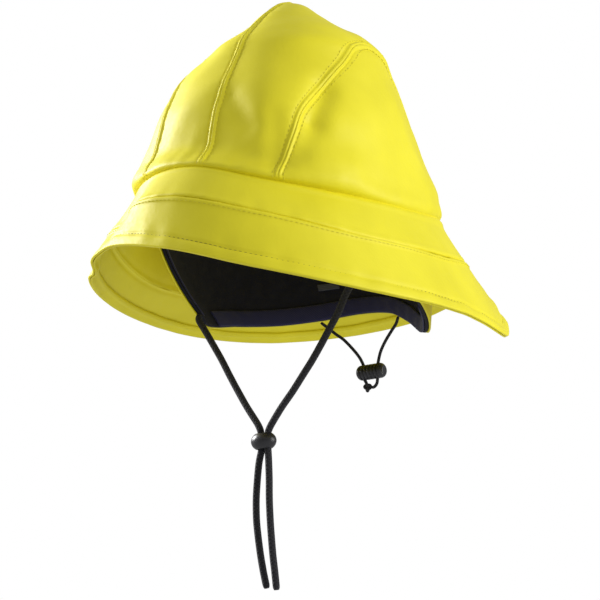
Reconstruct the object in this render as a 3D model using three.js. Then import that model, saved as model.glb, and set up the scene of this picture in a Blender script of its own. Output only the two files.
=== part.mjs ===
// A rain hat of the sou'wester kind, in millimetres, with +Z up, the brow towards -Y and the
// wearer's left towards +X. The origin is the middle of the head opening, where the crown is
// sewn to the brim. Angles run round the head from the brow (0) to the wearer's left (90).
import * as THREE from 'three';

// Cloth and cord sizes
const SHELL_CLOTH = 1.6;
const FLAP_CLOTH = 1.2;
const FLEECE = 2.0;
const CASING_CLOTH = 1.0;
const SEAM_GAP = 0.3;
const CHIN_CORD = 4.2;
const DRAW_CORD = 2.0;

// The head opening, measured outside the crown at its lower seam
const HEAD_HALF_WIDTH = 85;
const HEAD_HALF_LENGTH = 98;

// Where the two long seams of the crown lie, either side of the middle seam
const SIDE_SEAM_X = 48;

// Heights of the crown seam, band seam and rim, and how far the last two stand out from the
// crown seam. The brim waves, so the wearer's left and right differ.
const BRIM_SECTIONS = [
  { angle: 0, seamZ: 5, bandOut: 16, bandZ: -14, rimOut: 24, rimZ: -44 },
  { angle: 30, seamZ: -2.5, bandOut: 16, bandZ: -23, rimOut: 28, rimZ: -55 },
  { angle: 60, seamZ: -7, bandOut: 16, bandZ: -31, rimOut: 32, rimZ: -63 },
  { angle: 90, seamZ: -8, bandOut: 16, bandZ: -32.5, rimOut: 36, rimZ: -66.5 },
  { angle: 120, seamZ: -4, bandOut: 16, bandZ: -29, rimOut: 43.5, rimZ: -71.5 },
  { angle: 150, seamZ: 1, bandOut: 18, bandZ: -24, rimOut: 45, rimZ: -36 },
  { angle: 180, seamZ: 3, bandOut: 18, bandZ: -28, rimOut: 44, rimZ: -51 },
  { angle: 210, seamZ: 0, bandOut: 18, bandZ: -38, rimOut: 47, rimZ: -63.5 },
  { angle: 240, seamZ: -4.5, bandOut: 17, bandZ: -45, rimOut: 45, rimZ: -67 },
  { angle: 270, seamZ: -7, bandOut: 16, bandZ: -43, rimOut: 36, rimZ: -61.5 },
  { angle: 300, seamZ: -4, bandOut: 16, bandZ: -30, rimOut: 30, rimZ: -52 },
  { angle: 330, seamZ: 2.5, bandOut: 16, bandZ: -17, rimOut: 25, rimZ: -40 },
];

// Level sections of the crown above its seam: half width, half length, where their middle lies
// along Y, and how square the oval is (2 is a plain ellipse)
const CROWN_SECTIONS = [
  { height: 0, side: 85, length: 98, middle: 0, square: 2.0 },
  { height: 3, side: 85.5, length: 97, middle: -1.5, square: 2.1 },
  { height: 8, side: 84, length: 92.5, middle: -1.5, square: 2.25 },
  { height: 16, side: 82, length: 88.75, middle: -0.25, square: 2.35 },
  { height: 28, side: 77.5, length: 84.25, middle: -2.25, square: 2.3 },
  { height: 42, side: 72.5, length: 79.25, middle: -4.25, square: 2.3 },
  { height: 56, side: 67.5, length: 73, middle: -4.5, square: 2.1 },
  { height: 68, side: 63, length: 66.25, middle: -4.25, square: 2.0 },
  { height: 78, side: 59.5, length: 60, middle: -4.5, square: 2.0 },
  { height: 88, side: 55, length: 53.25, middle: -5.25, square: 2.1 },
  { height: 96, side: 47.5, length: 45.5, middle: -5.5, square: 2.0 },
  { height: 104, side: 35.5, length: 36.25, middle: -5.75, square: 2.0 },
  { height: 112, side: 22, length: 26.25, middle: -6.25, square: 2.0 },
  { height: 119, side: 11, length: 13.5, middle: -7.5, square: 2.0 },
  { height: 121.5, side: 0.01, length: 5, middle: -8, square: 2.0 },
];
// The lower sections ride up and down with the crown seam, up to this height
const SEAM_WAVE_HEIGHT = 70;

// Soft hollows in the crown cloth: place, radius and depth
const CROWN_DENTS = [
  { x: 56, y: -36, z: 58, radius: 17, depth: 3.5 },
  { x: 9, y: -84, z: 38, radius: 16, depth: 2.5 },
  { x: -56, y: -40, z: 56, radius: 16, depth: 3 },
  { x: 36, y: -84, z: 12, radius: 15, depth: 2 },
];

// The ear and neck flap: where its lower edge hangs, and how far in from the crown seam
const FLAP_SECTIONS = [
  { angle: 76, hemZ: -50.5, inset: 25 },
  { angle: 92, hemZ: -50.5, inset: 15 },
  { angle: 108, hemZ: -54, inset: 8 },
  { angle: 122, hemZ: -62, inset: 4 },
  { angle: 137, hemZ: -68.5, inset: 1.5 },
  { angle: 152, hemZ: -60, inset: 4 },
  { angle: 166, hemZ: -53.5, inset: 6 },
  { angle: 183, hemZ: -53, inset: 6 },
  { angle: 204, hemZ: -58, inset: 6 },
  { angle: 224, hemZ: -63, inset: 6.5 },
  { angle: 244, hemZ: -66.5, inset: 9 },
  { angle: 257, hemZ: -69.5, inset: 14 },
  { angle: 265, hemZ: -69.8, inset: 18.5 },
  { angle: 271, hemZ: -66, inset: 21 },
];
const FLAP_TOP_INSET = 2.2;
const FLAP_TOP_DROP = 1.4;
// The flap's front edges slant back from these angles at the crown seam
const FLAP_TOP_LEFT = 60;
const FLAP_TOP_RIGHT = 295;

const HEM_WIDTH = 9;
const HEM_CLOTH = 1.0;
const CASING_WIDTH = 10;
const CASING_FROM = 118;
const CASING_TO = 246;

// Colours and roughness of the cloths, cords and beads
const finish = (color, roughness) => new THREE.MeshStandardMaterial({ color, roughness, metalness: 0 });
const HI_VIS_YELLOW = finish(0xeee62c, 0.62);
const NAVY_FLEECE = finish(0x1d1d26, 0.95);
const NAVY_BINDING = finish(0x1b1b33, 0.9);
const BLACK_CORD = finish(0x1a1a20, 0.8);
const BLACK_PLASTIC = finish(0x17181a, 0.45);
const LABEL_GREY = finish(0x55565c, 0.85);

const hat = new THREE.Group();

function addMesh(name, geometry, material) {
  const mesh = new THREE.Mesh(geometry, material);
  mesh.name = name;
  hat.add(mesh);
  return mesh;
}

// A smooth curve through four values, with t from 0 at b to 1 at c
function blend4(a, b, c, d, t) {
  const half = 0.5 * (2 * b + (c - a) * t + (2 * a - 5 * b + 4 * c - d) * t * t);
  return half + 0.5 * (3 * b - a - 3 * c + d) * t * t * t;
}

// A named column of the brim table at any angle
function brimValue(column, degrees) {
  const count = BRIM_SECTIONS.length;
  const place = (((degrees % 360) + 360) % 360) / (360 / count);
  const row = Math.floor(place);
  const at = (k) => BRIM_SECTIONS[(row + k + count) % count][column];
  return blend4(at(-1), at(0), at(1), at(2), place - row);
}

// A named column of the crown table at a level, where level 1 is the second row
function crownValue(column, level) {
  const last = CROWN_SECTIONS.length - 1;
  const row = Math.min(Math.floor(level), last - 1);
  const at = (k) => CROWN_SECTIONS[Math.min(Math.max(row + k, 0), last)][column];
  return blend4(at(-1), at(0), at(1), at(2), level - row);
}

// A named column of the flap table at any angle between its ends
function flapValue(column, degrees) {
  const rows = FLAP_SECTIONS;
  const last = rows.length - 1;
  const angle = Math.min(Math.max(degrees, rows[0].angle), rows[last].angle);
  let row = 0;
  while (row < last - 1 && rows[row + 1].angle < angle) row += 1;
  const at = (k) => rows[Math.min(Math.max(row + k, 0), last)][column];
  const share = (angle - rows[row].angle) / (rows[row + 1].angle - rows[row].angle);
  return blend4(at(-1), at(0), at(1), at(2), share);
}

// A point level with the crown seam's oval, moved outwards in plan by `out`
function ovalPoint(degrees, out, z) {
  const a = THREE.MathUtils.degToRad(degrees);
  const x = Math.sin(a);
  const y = -Math.cos(a);
  const normal = new THREE.Vector3(x / HEAD_HALF_WIDTH, y / HEAD_HALF_LENGTH, 0).normalize();
  return new THREE.Vector3(HEAD_HALF_WIDTH * x, HEAD_HALF_LENGTH * y, z).addScaledVector(normal, out);
}

// The crown cloth without its hollows
function crownPoint(degrees, level) {
  const a = THREE.MathUtils.degToRad(degrees);
  const s = Math.sin(a);
  const c = Math.cos(a);
  const power = 2 / crownValue('square', level);
  const height = crownValue('height', level);
  const wave = brimValue('seamZ', degrees) * Math.max(0, 1 - height / SEAM_WAVE_HEIGHT);
  const x = crownValue('side', level) * Math.sign(s) * Math.abs(s) ** power;
  const along = crownValue('length', level) * Math.sign(c) * Math.abs(c) ** power;
  const y = crownValue('middle', level) - along;
  return new THREE.Vector3(x, y, height + wave);
}

// The angle at which a crown level crosses the upright plane at x, on its brow or nape side
function angleAtX(x, level, nape) {
  const share = Math.min(1, Math.abs(x) / crownValue('side', level));
  const front = THREE.MathUtils.radToDeg(Math.asin(share ** (crownValue('square', level) / 2)));
  const left = nape ? 180 - front : front;
  return x < 0 ? 360 - left : left;
}

// The highest level that still reaches the upright plane at x
function topLevelAtX(x) {
  let low = 2;
  let high = CROWN_SECTIONS.length - 1;
  for (let step = 0; step < 30; step += 1) {
    const middle = (low + high) / 2;
    if (crownValue('side', middle) > Math.abs(x)) low = middle;
    else high = middle;
  }
  return low;
}

// Pushes a crown point in where the cloth has a hollow
function dented(point, normal) {
  let push = 0;
  for (const dent of CROWN_DENTS) {
    const far = point.distanceTo(new THREE.Vector3(dent.x, dent.y, dent.z)) / dent.radius;
    push += dent.depth * Math.exp(-far * far);
  }
  return point.clone().addScaledVector(normal, -push);
}

// A closed wall of cloth over a grid of its outer face: point(u, v) with u and v from 0 to 1,
// thickened towards the inside. A wrapped wall closes on itself along u. A wall with a
// keepSide of 1 or -1 stays on that side of the middle seam. `facing` gives the outward
// direction where two walls meet at a fold and have to share it.
function clothWall(options) {
  const { point, columns, rows, thickness, wrap = false, hollows = false, keepSide = 0, facing } = options;
  const across = wrap ? columns : columns + 1;
  const outer = [];
  const inner = [];
  const nudge = 1e-3;
  for (let j = 0; j <= rows; j += 1) {
    for (let i = 0; i < across; i += 1) {
      const u = i / columns;
      const v = j / rows;
      const u0 = wrap ? u - nudge : Math.max(0, u - nudge);
      const u1 = wrap ? u + nudge : Math.min(1, u + nudge);
      const v0 = Math.max(0, v - nudge);
      const v1 = Math.min(1, v + nudge);
      const alongU = point(u1, v).sub(point(u0, v));
      const alongV = point(u, v1).sub(point(u, v0));
      const normal = facing ? facing(u, v) : alongU.cross(alongV).normalize();
      const place = point(u, v);
      outer.push(hollows ? dented(place, normal) : place);
      const behind = outer[outer.length - 1].clone().addScaledVector(normal, -thickness);
      if (keepSide) behind.x = keepSide * Math.max(keepSide * behind.x, SEAM_GAP / 2);
      inner.push(behind);
    }
  }
  const points = outer.concat(inner);
  const shift = outer.length;
  const index = [];
  const quad = (a, b, c, d) => index.push(a, b, c, a, c, d);
  const at = (i, j) => j * across + (i % across);
  for (let j = 0; j < rows; j += 1) {
    for (let i = 0; i < columns; i += 1) {
      quad(at(i, j), at(i + 1, j), at(i + 1, j + 1), at(i, j + 1));
      quad(at(i, j + 1) + shift, at(i + 1, j + 1) + shift, at(i + 1, j) + shift, at(i, j) + shift);
    }
  }
  for (let i = 0; i < columns; i += 1) {
    quad(at(i + 1, 0), at(i, 0), at(i, 0) + shift, at(i + 1, 0) + shift);
    quad(at(i, rows), at(i + 1, rows), at(i + 1, rows) + shift, at(i, rows) + shift);
  }
  if (!wrap) {
    for (let j = 0; j < rows; j += 1) {
      quad(at(0, j), at(0, j + 1), at(0, j + 1) + shift, at(0, j) + shift);
      quad(at(columns, j + 1), at(columns, j), at(columns, j) + shift, at(columns, j + 1) + shift);
    }
  }
  const geometry = new THREE.BufferGeometry().setFromPoints(points);
  geometry.setIndex(index);
  return geometry;
}

const lerp = THREE.MathUtils.lerp;

// The crown's upper strips lie between the middle seam and the side seams, and run from the
// brow over the top to the nape. `side` is 1 for the wearer's left and -1 for the right.
function crownStrip(side) {
  const point = (u, v) => {
    const across = side > 0 ? u : 1 - u;
    const x = side * lerp(SEAM_GAP / 2, SIDE_SEAM_X - SEAM_GAP / 2, across);
    const top = topLevelAtX(x);
    const rise = 1 - Math.abs(2 * v - 1);
    const level = top * Math.sin((rise * Math.PI) / 2);
    return crownPoint(angleAtX(x, level, v > 0.5), level);
  };
  const grid = { point, columns: 4, rows: 36, hollows: true, keepSide: side };
  return clothWall({ ...grid, thickness: SHELL_CLOTH });
}

// The side panels fill from the crown seam up to where the side seams meet over the ear
function crownSide(side) {
  const edge = SIDE_SEAM_X + SEAM_GAP / 2;
  const top = topLevelAtX(edge + SEAM_GAP);
  const point = (u, v) => {
    const level = v * top;
    const brow = angleAtX(edge, level, false);
    const nape = angleAtX(edge, level, true);
    const angle = lerp(brow, nape, side > 0 ? u : 1 - u);
    return crownPoint(side > 0 ? angle : 360 - angle, level);
  };
  return clothWall({ point, columns: 22, rows: 12, thickness: SHELL_CLOTH, hollows: true });
}

addMesh('crown_strip_left', crownStrip(1), HI_VIS_YELLOW);
addMesh('crown_strip_right', crownStrip(-1), HI_VIS_YELLOW);
addMesh('crown_side_left', crownSide(1), HI_VIS_YELLOW);
addMesh('crown_side_right', crownSide(-1), HI_VIS_YELLOW);

// The band slopes out from the crown seam, and the brim goes on from the band seam to the rim.
// `place` is 0 at the crown seam, 1 at the band seam and 2 at the rim.
function brimSurface(degrees, place) {
  const bandOut = brimValue('bandOut', degrees);
  const bandZ = brimValue('bandZ', degrees);
  if (place <= 1) {
    const seamZ = brimValue('seamZ', degrees);
    return ovalPoint(degrees, bandOut * place, lerp(seamZ, bandZ, place));
  }
  const out = lerp(bandOut, brimValue('rimOut', degrees), place - 1);
  return ovalPoint(degrees, out, lerp(bandZ, brimValue('rimZ', degrees), place - 1));
}

// The brim's outward direction, softened over the fold at the band seam
function brimFacing(degrees, place) {
  const spread = 0.06;
  const alongU = brimSurface(degrees + 0.5, place).sub(brimSurface(degrees - 0.5, place));
  const lower = brimSurface(degrees, Math.min(2, place + spread));
  const alongV = brimSurface(degrees, Math.max(0, place - spread)).sub(lower);
  return alongU.cross(alongV).normalize();
}

const BAND_FROM = 0.012;
const BAND_TO = 0.995;
const BRIM_FROM = 1.005;
function brimWall(from, to, rows) {
  const place = (v) => lerp(to, from, v);
  const point = (u, v) => brimSurface(360 * u, place(v));
  const facing = (u, v) => brimFacing(360 * u, place(v));
  return clothWall({ point, facing, columns: 72, rows, thickness: SHELL_CLOTH, wrap: true });
}
addMesh('brim_band', brimWall(BAND_FROM, BAND_TO, 1), HI_VIS_YELLOW);
addMesh('brim', brimWall(BRIM_FROM, 2, 2), HI_VIS_YELLOW);

// The rim's cloth is turned under and stitched down, which leaves a strip inside the brim
const HEM_GAP = 0.5;
const hemPlace = (u, v) => {
  const slant = brimSurface(360 * u, 1).distanceTo(brimSurface(360 * u, 2));
  return 2 - (v * HEM_WIDTH) / slant;
};
const hemFacing = (u, v) => brimFacing(360 * u, hemPlace(u, v));
const hemPoint = (u, v) => {
  const outer = brimSurface(360 * u, hemPlace(u, v));
  return outer.addScaledVector(hemFacing(u, v), -SHELL_CLOTH - HEM_GAP);
};
const hemGrid = { point: hemPoint, facing: hemFacing, columns: 72, rows: 1, wrap: true };
addMesh('brim_hem', clothWall({ ...hemGrid, thickness: HEM_CLOTH }), HI_VIS_YELLOW);

// The flap hangs from the crown seam round the ears and nape. v is 0 at its lower edge.
function flapSurface(u, v) {
  const drop = 1 - v;
  const rows = FLAP_SECTIONS;
  const hemAngle = lerp(rows[0].angle, rows[rows.length - 1].angle, u);
  const topAngle = lerp(FLAP_TOP_LEFT, FLAP_TOP_RIGHT, u);
  const angle = lerp(topAngle, hemAngle, drop);
  const topZ = brimValue('seamZ', angle) - FLAP_TOP_DROP;
  const inset = lerp(FLAP_TOP_INSET, flapValue('inset', hemAngle), drop ** 1.3);
  return ovalPoint(angle, -inset, lerp(topZ, flapValue('hemZ', hemAngle), drop));
}

// Every layer of the flap shares the outward direction of its outer cloth
function flapFacing(u, v) {
  const spread = 0.02;
  const alongU = flapSurface(Math.min(1, u + spread), v).sub(flapSurface(Math.max(0, u - spread), v));
  const alongV = flapSurface(u, Math.min(1, v + spread)).sub(flapSurface(u, Math.max(0, v - spread)));
  return alongU.cross(alongV).normalize();
}
const flapLayer = (u, v, depth) => flapSurface(u, v).addScaledVector(flapFacing(u, v), -depth);

const FLAP_LAYER_GAP = 0.4;
const fleeceDepth = FLAP_CLOTH + FLAP_LAYER_GAP;
const flapCloth = (u, v) => flapSurface(u, v);
const fleeceCloth = (u, v) => flapLayer(u, v, fleeceDepth);
const flapGrid = { facing: flapFacing, columns: 44, rows: 5 };
addMesh('flap_outer', clothWall({ ...flapGrid, point: flapCloth, thickness: FLAP_CLOTH }), HI_VIS_YELLOW);
addMesh('flap_fleece', clothWall({ ...flapGrid, point: fleeceCloth, thickness: FLEECE }), NAVY_FLEECE);

// Where an angle of the lower edge lies along the flap, from 0 to 1
const flapSpan = FLAP_SECTIONS[FLAP_SECTIONS.length - 1].angle - FLAP_SECTIONS[0].angle;
const alongFlap = (degrees) => (degrees - FLAP_SECTIONS[0].angle) / flapSpan;

// The casing is a strip sewn along the lower edge of the fleece, and the drawcord runs in it
const casingDepth = fleeceDepth + FLEECE + SEAM_GAP;
const onCasing = (u, v) => {
  const around = lerp(alongFlap(CASING_FROM), alongFlap(CASING_TO), u);
  const deep = flapSurface(around, 0).distanceTo(flapSurface(around, 1));
  return [around, (v * CASING_WIDTH) / deep];
};
const casingPoint = (u, v) => flapLayer(...onCasing(u, v), casingDepth);
const casingFacing = (u, v) => flapFacing(...onCasing(u, v));
const casingGrid = { point: casingPoint, facing: casingFacing, columns: 30, rows: 1 };
addMesh('nape_casing', clothWall({ ...casingGrid, thickness: CASING_CLOTH }), NAVY_BINDING);

// A small blank label is sewn flat on the fleece above the casing
const LABEL_MIDDLE = 196;
const LABEL_SPREAD = 4.6;
const LABEL_FROM_TOP = 0.64;
const LABEL_HEIGHT = 0.075;
const LABEL_CLOTH = 0.6;
const onLabel = (u, v) => {
  const angle = LABEL_MIDDLE + LABEL_SPREAD * (2 * u - 1);
  return [alongFlap(angle), 1 - LABEL_FROM_TOP + LABEL_HEIGHT * (v - 0.5)];
};
const labelPoint = (u, v) => flapLayer(...onLabel(u, v), casingDepth);
const labelFacing = (u, v) => flapFacing(...onLabel(u, v));
const labelGrid = { point: labelPoint, facing: labelFacing, columns: 4, rows: 1 };
addMesh('label', clothWall({ ...labelGrid, thickness: LABEL_CLOTH }), LABEL_GREY);

// A cord along hand-chosen points, with a round section
function cordTube(points, diameter, sides, stepDiameters = 2.5) {
  const path = new THREE.CatmullRomCurve3(points.map(([x, y, z]) => new THREE.Vector3(x, y, z)));
  const section = new THREE.Shape();
  for (let k = 0; k < sides; k += 1) {
    const a = (k / sides) * 2 * Math.PI;
    const x = (Math.cos(a) * diameter) / 2;
    const y = (Math.sin(a) * diameter) / 2;
    if (k === 0) section.moveTo(x, y);
    else section.lineTo(x, y);
  }
  section.closePath();
  const steps = Math.max(4, Math.round(path.getLength() / (diameter * stepDiameters)));
  return new THREE.ExtrudeGeometry(section, { steps, extrudePath: path, curveSegments: 1 });
}

// The chin cord: a run down from each front corner of the flap to the lock, and two free tails
const CHIN_RUN_RIGHT = [
  [-63.2, -2.3, -66.5],
  [-56.6, -4.4, -73.2],
  [-48.9, -5.4, -82.2],
  [-40.7, -6.4, -92.1],
  [-33.3, -7.4, -101.8],
  [-25.6, -8.4, -111.5],
  [-17.7, -9.4, -121.0],
  [-9.4, -10.2, -130.2],
  [-6.9, -10.5, -133.6],
  [-6.1, -10.6, -135.3],
];
const CHIN_RUN_LEFT = [
  [57.2, -17.6, -50.4],
  [52.6, -17.6, -58.0],
  [48.6, -17.4, -67.1],
  [43.2, -17.2, -76.1],
  [37.5, -16.6, -85.1],
  [31.4, -15.9, -94.1],
  [24.6, -15.2, -103.1],
  [17.6, -14.4, -112.2],
  [9.7, -13.3, -121.3],
  [2.7, -12.0, -130.3],
  [0.7, -11.5, -133.2],
  [0.0, -11.3, -134.5],
];
const CHIN_TAIL_RIGHT = [
  [-4.9, -10.6, -146.6],
  [-6.2, -10.5, -153.5],
  [-6.8, -10.4, -162.7],
  [-7.0, -10.3, -174.2],
  [-6.1, -10.3, -185.6],
  [-4.5, -10.3, -194.7],
  [-1.9, -10.4, -205.9],
  [1.0, -10.6, -215.9],
  [4.2, -10.8, -225.3],
];
const CHIN_TAIL_LEFT = [
  [0.1, -11.1, -145.5],
  [1.2, -11.2, -153.5],
  [2.2, -11.3, -162.7],
  [3.1, -11.4, -174.2],
  [4.5, -11.5, -185.6],
  [5.9, -11.6, -194.7],
  [7.9, -11.8, -205.9],
  [10.1, -12.0, -216.0],
  [12.1, -12.2, -225.9],
];
addMesh('chin_cord_right', cordTube(CHIN_RUN_RIGHT, CHIN_CORD, 10), BLACK_CORD);
addMesh('chin_cord_left', cordTube(CHIN_RUN_LEFT, CHIN_CORD, 10), BLACK_CORD);
addMesh('chin_tail_right', cordTube(CHIN_TAIL_RIGHT, CHIN_CORD, 10), BLACK_CORD);
addMesh('chin_tail_left', cordTube(CHIN_TAIL_LEFT, CHIN_CORD, 10), BLACK_CORD);

// A bead turned from a rounded profile, with flat ends where the cords meet it
function bead(radius, height, flat, sides) {
  const profile = [new THREE.Vector2(0, -height / 2)];
  const turns = 8;
  for (let k = 0; k <= turns; k += 1) {
    const a = Math.PI * (k / turns - 0.5);
    const r = flat + (radius - flat) * Math.cos(a);
    profile.push(new THREE.Vector2(r, (height / 2) * Math.sin(a)));
  }
  profile.push(new THREE.Vector2(0, height / 2));
  return new THREE.LatheGeometry(profile, sides).rotateX(Math.PI / 2);
}

// The chin lock is an oval bead, wide across the two cords
const chinLock = addMesh('chin_cord_lock', bead(7.2, 9.2, 4.4, 20).scale(1.08, 0.8, 1), BLACK_PLASTIC);
chinLock.position.set(-3.4, -10.9, -140.8);
chinLock.rotation.y = THREE.MathUtils.degToRad(-8);

// The nape drawcord: two strands out of the casing, a lock, and a knotted loop below it
const DRAW_STRAND_RIGHT = [
  [-30.0, 82.2, -58.7],
  [-26.6, 84.6, -61.6],
  [-20.9, 87.0, -66.0],
  [-15.2, 87.0, -69.4],
  [-8.1, 87.0, -75.4],
  [-2.8, 87.0, -80.8],
  [0.3, 87.0, -85.5],
];
const DRAW_STRAND_LEFT = [
  [25.0, 86.0, -55.7],
  [23.2, 86.8, -60.0],
  [20.1, 87.0, -64.3],
  [15.7, 87.0, -71.0],
  [12.6, 87.0, -77.6],
  [11.2, 87.0, -84.2],
];
const DRAW_LOOP = [
  [7.4, 87.0, -99.8],
  [9.2, 87.0, -99.4],
  [10.6, 87.0, -98.0],
  [11.2, 87.0, -96.4],
  [11.3, 87.0, -94.4],
];
const DRAW_STUB = [
  [2.1, 87.0, -95.4],
  [2.6, 87.0, -96.1],
  [3.2, 87.0, -96.9],
];
addMesh('draw_cord_right', cordTube(DRAW_STRAND_RIGHT, DRAW_CORD, 8), BLACK_CORD);
addMesh('draw_cord_left', cordTube(DRAW_STRAND_LEFT, DRAW_CORD, 8), BLACK_CORD);
addMesh('draw_cord_loop', cordTube(DRAW_LOOP, DRAW_CORD, 8, 0.8), BLACK_CORD);
addMesh('draw_cord_stub', cordTube(DRAW_STUB, DRAW_CORD, 8), BLACK_CORD);

// The drawcord lock is a barrel that lies across the two strands
const drawLock = addMesh('draw_cord_lock', bead(4.5, 19, 3, 14), BLACK_PLASTIC);
drawLock.position.set(6.6, 87.0, -89.9);
drawLock.rotation.set(0, THREE.MathUtils.degToRad(83), 0);

const drawKnot = addMesh('draw_cord_knot', new THREE.SphereGeometry(2.6, 12, 8), BLACK_CORD);
drawKnot.position.set(4.4, 87.0, -99.8);

export default hat;
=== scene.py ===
# A hi-vis rain hat with a long wavy brim, a fleece-lined ear flap, a chin cord and a nape drawcord.
# Tables and sizes are in millimetres; meshes are made in metres.
import math
import bpy
import numpy as np
from mathutils import Matrix, Vector


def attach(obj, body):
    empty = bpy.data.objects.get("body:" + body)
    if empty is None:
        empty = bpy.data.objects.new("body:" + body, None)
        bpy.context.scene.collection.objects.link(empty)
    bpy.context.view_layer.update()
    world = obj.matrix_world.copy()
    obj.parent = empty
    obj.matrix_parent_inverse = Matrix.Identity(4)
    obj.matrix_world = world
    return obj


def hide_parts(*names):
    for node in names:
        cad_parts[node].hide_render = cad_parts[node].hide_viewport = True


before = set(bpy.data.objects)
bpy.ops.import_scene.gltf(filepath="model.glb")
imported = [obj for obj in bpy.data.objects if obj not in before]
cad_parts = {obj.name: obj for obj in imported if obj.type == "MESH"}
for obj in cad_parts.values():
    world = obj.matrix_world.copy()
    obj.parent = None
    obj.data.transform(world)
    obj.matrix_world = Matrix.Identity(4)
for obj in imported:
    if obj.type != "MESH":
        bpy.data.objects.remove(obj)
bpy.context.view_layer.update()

MM = 0.001

# The camera stands to the wearer's front left and a little below the brim, as in the photograph.
# It leans by three degrees, because the hat in the photograph hangs slightly off plumb.
CAMERA_AZIMUTH = math.radians(35)
CAMERA_ELEVATION = math.radians(-10.2)
CAMERA_ROLL = math.radians(-3)
CAMERA_DISTANCE = 1145
PIXEL = 0.597
FRAME_PIXELS = 600
ORIGIN_PIXEL = (291.5, 206.5)

level_reach = math.cos(CAMERA_ELEVATION)
towards_camera = Vector((
    math.sin(CAMERA_AZIMUTH) * level_reach,
    -math.cos(CAMERA_AZIMUTH) * level_reach,
    math.sin(CAMERA_ELEVATION),
))
level_right = Vector((math.cos(CAMERA_AZIMUTH), math.sin(CAMERA_AZIMUTH), 0))
lean = Matrix.Rotation(-CAMERA_ROLL, 3, towards_camera)
image_right = lean @ level_right
image_up = lean @ towards_camera.cross(level_right)
off_right = (FRAME_PIXELS / 2 - ORIGIN_PIXEL[0]) * PIXEL
off_down = (FRAME_PIXELS / 2 - ORIGIN_PIXEL[1]) * PIXEL
aim = image_right * off_right - image_up * off_down - towards_camera * CAMERA_DISTANCE
aim.normalize()
side_axis = aim.cross(image_up).normalized()
top_axis = side_axis.cross(aim)

camera_data = bpy.data.cameras.new("photo_camera")
camera_data.sensor_width = 36
camera_data.lens = 36 * CAMERA_DISTANCE / (PIXEL * FRAME_PIXELS)
camera_data.clip_end = 50
camera = bpy.data.objects.new("photo_camera", camera_data)
bpy.context.scene.collection.objects.link(camera)
turn = Matrix((side_axis, top_axis, -aim)).transposed()
camera.matrix_world = Matrix.Translation(towards_camera * CAMERA_DISTANCE * MM) @ turn.to_4x4()
bpy.context.scene.camera = camera


# The cords are braided polyester over a core. The chin cord is sewn into the two front corners of
# the flap, passes through an oval lock and ends in two free tails.
def linear(hex_colour):
    """An sRGB hex colour as the linear colour that a shader socket takes."""
    parts = [int(hex_colour[k:k + 2], 16) / 255 for k in (1, 3, 5)]
    return [c / 12.92 if c <= 0.04045 else ((c + 0.055) / 1.055) ** 2.4 for c in parts] + [1.0]


def add_node(material, kind, links=(), **settings):
    """A shader node; `links` gives its inputs, by name or number, a value or another node's output."""
    node = material.node_tree.nodes.new(kind)
    for name, value in settings.items():
        setattr(node, name, value)
    for socket, source in dict(links).items():
        if hasattr(source, "is_output"):
            material.node_tree.links.new(source, node.inputs[socket])
        else:
            node.inputs[socket].default_value = source
    return node


def new_material(name, colour, roughness):
    """A material with its Principled shader, in one plain finish to start from."""
    material = bpy.data.materials.new(name)
    material.use_nodes = True
    shader = material.node_tree.nodes["Principled BSDF"]
    shader.inputs["Base Color"].default_value = linear(colour)
    shader.inputs["Roughness"].default_value = roughness
    return material, shader


def join(material, source, shader, socket):
    """Feeds a node's output into one of the shader's sockets."""
    material.node_tree.links.new(source, shader.inputs[socket])


def add_to_hat(piece, node=None):
    """Lets a piece ride on the hat and stand for its CAD node."""
    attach(piece, "root")
    if node:
        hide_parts(node)


def blend4(a, b, c, d, t):
    """A smooth value between b and c, with a and d before and after them."""
    bend = (2 * a - 5 * b + 4 * c - d) * t ** 2 + (3 * b - a - 3 * c + d) * t ** 3
    return 0.5 * (2 * b + (c - a) * t + bend)


def smooth_path(points, step):
    """A smooth line through given points, sampled about every `step` millimetres."""
    points = np.array(points, float)
    ends = np.vstack([2 * points[0] - points[1], points, 2 * points[-1] - points[-2]])
    out = []
    for k in range(1, len(ends) - 2):
        a, b, c, d = ends[k - 1:k + 3]
        count = max(2, int(np.linalg.norm(c - b) / step))
        out.append(blend4(a, b, c, d, (np.arange(count) / count)[:, None]))
    return np.vstack(out + [ends[-2:-1]])


def mesh_object(name, points, faces, uv=None, material=None):
    """A smooth-shaded object from points in millimetres, with a UV map in metres."""
    mesh = bpy.data.meshes.new(name)
    mesh.from_pydata((np.asarray(points) * MM).tolist(), [], [list(f) for f in faces])
    if uv is not None:
        layer = mesh.uv_layers.new(name="cloth")
        flat = [c for f in uv for corner in f for c in corner]
        layer.data.foreach_set("uv", flat)
    mesh.shade_smooth()
    mesh.validate()
    piece = bpy.data.objects.new(name, mesh)
    bpy.context.scene.collection.objects.link(piece)
    if material:
        mesh.materials.append(material)
    return piece


NO_CORD_RUNS_THIS_WAY = (0.13, 0.98, 0.12)
TIP_SHARE = 0.72


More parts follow.
